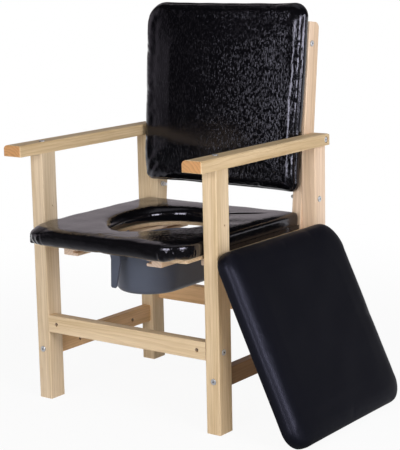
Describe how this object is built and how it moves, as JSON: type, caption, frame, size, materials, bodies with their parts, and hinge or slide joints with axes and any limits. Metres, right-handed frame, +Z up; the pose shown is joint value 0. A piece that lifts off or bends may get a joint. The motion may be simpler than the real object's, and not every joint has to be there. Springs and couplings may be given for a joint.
{
  "type": "commode chair",
  "caption": "Wooden commode chair with padded seat and back, slide-out pan under the seat, and a loose cover pad leaning on its side.",
  "frame": {"origin": "on the floor, in the middle of the four legs", "axes": "+Z up; -Y is the way the chair faces; +X is the sitter's left, where the cover pad leans"},
  "size_m": [0.8285, 0.6162, 0.9981],
  "materials": {
    "pine": "clear satin lacquer",
    "plywood": "bare",
    "vinyl": "glossy grained vinyl",
    "plastic": "moulded, satin",
    "steel": "zinc plated"
  },
  "bodies": {
    "frame": {"leg_front_left": "pine", "leg_front_right": "pine", "leg_rear_left": "pine", "leg_rear_right": "pine", "armrest_left": "pine", "armrest_right": "pine", "front_rail": "pine", "rear_rail": "pine", "side_rail_left": "pine", "side_rail_right": "pine", "upright_left": "pine", "upright_right": "pine", "back_rail_lower": "pine", "back_rail_upper": "pine", "back_board": "plywood", "back_pad": "vinyl", "seat_bearer_left": "pine", "seat_bearer_right": "pine", "seat_board": "plywood", "seat_pad": "vinyl", "pan_rail_left": "pine", "pan_rail_right": "pine", "rail_spacers": "plastic", "front_rail_bolts": "steel", "side_rail_bolts": "steel", "rear_rail_bolts": "steel", "arm_front_bolts": "steel", "arm_rear_bolts": "steel", "back_rail_bolts": "steel", "upright_bolts": "steel", "bearer_bolts": "steel", "front_rail_nuts": "steel", "side_rail_nuts": "steel", "rear_rail_nuts": "steel", "back_rail_nuts": "steel", "insert_nuts": "steel", "cap_nuts": "steel", "pan_rail_screws": "steel", "seat_board_screws": "steel", "back_screws": "steel"},
    "pan_unit": {"pan": "plastic", "pan_grip": "plastic", "grip_rivets": "plastic"},
    "cover": {"cover_pad": "vinyl", "cover_board": "plywood"}
  },
  "joints": [
    {"name": "pan_slide", "type": "slide", "parent": "frame", "child": "pan_unit", "axis": [0, -1, 0], "range_m": [0, 0.38]},
    {"name": "cover_away", "type": "slide", "parent": "frame", "child": "cover", "axis": [1, 0, 0], "range_m": [0, 0.25]}
  ]
}
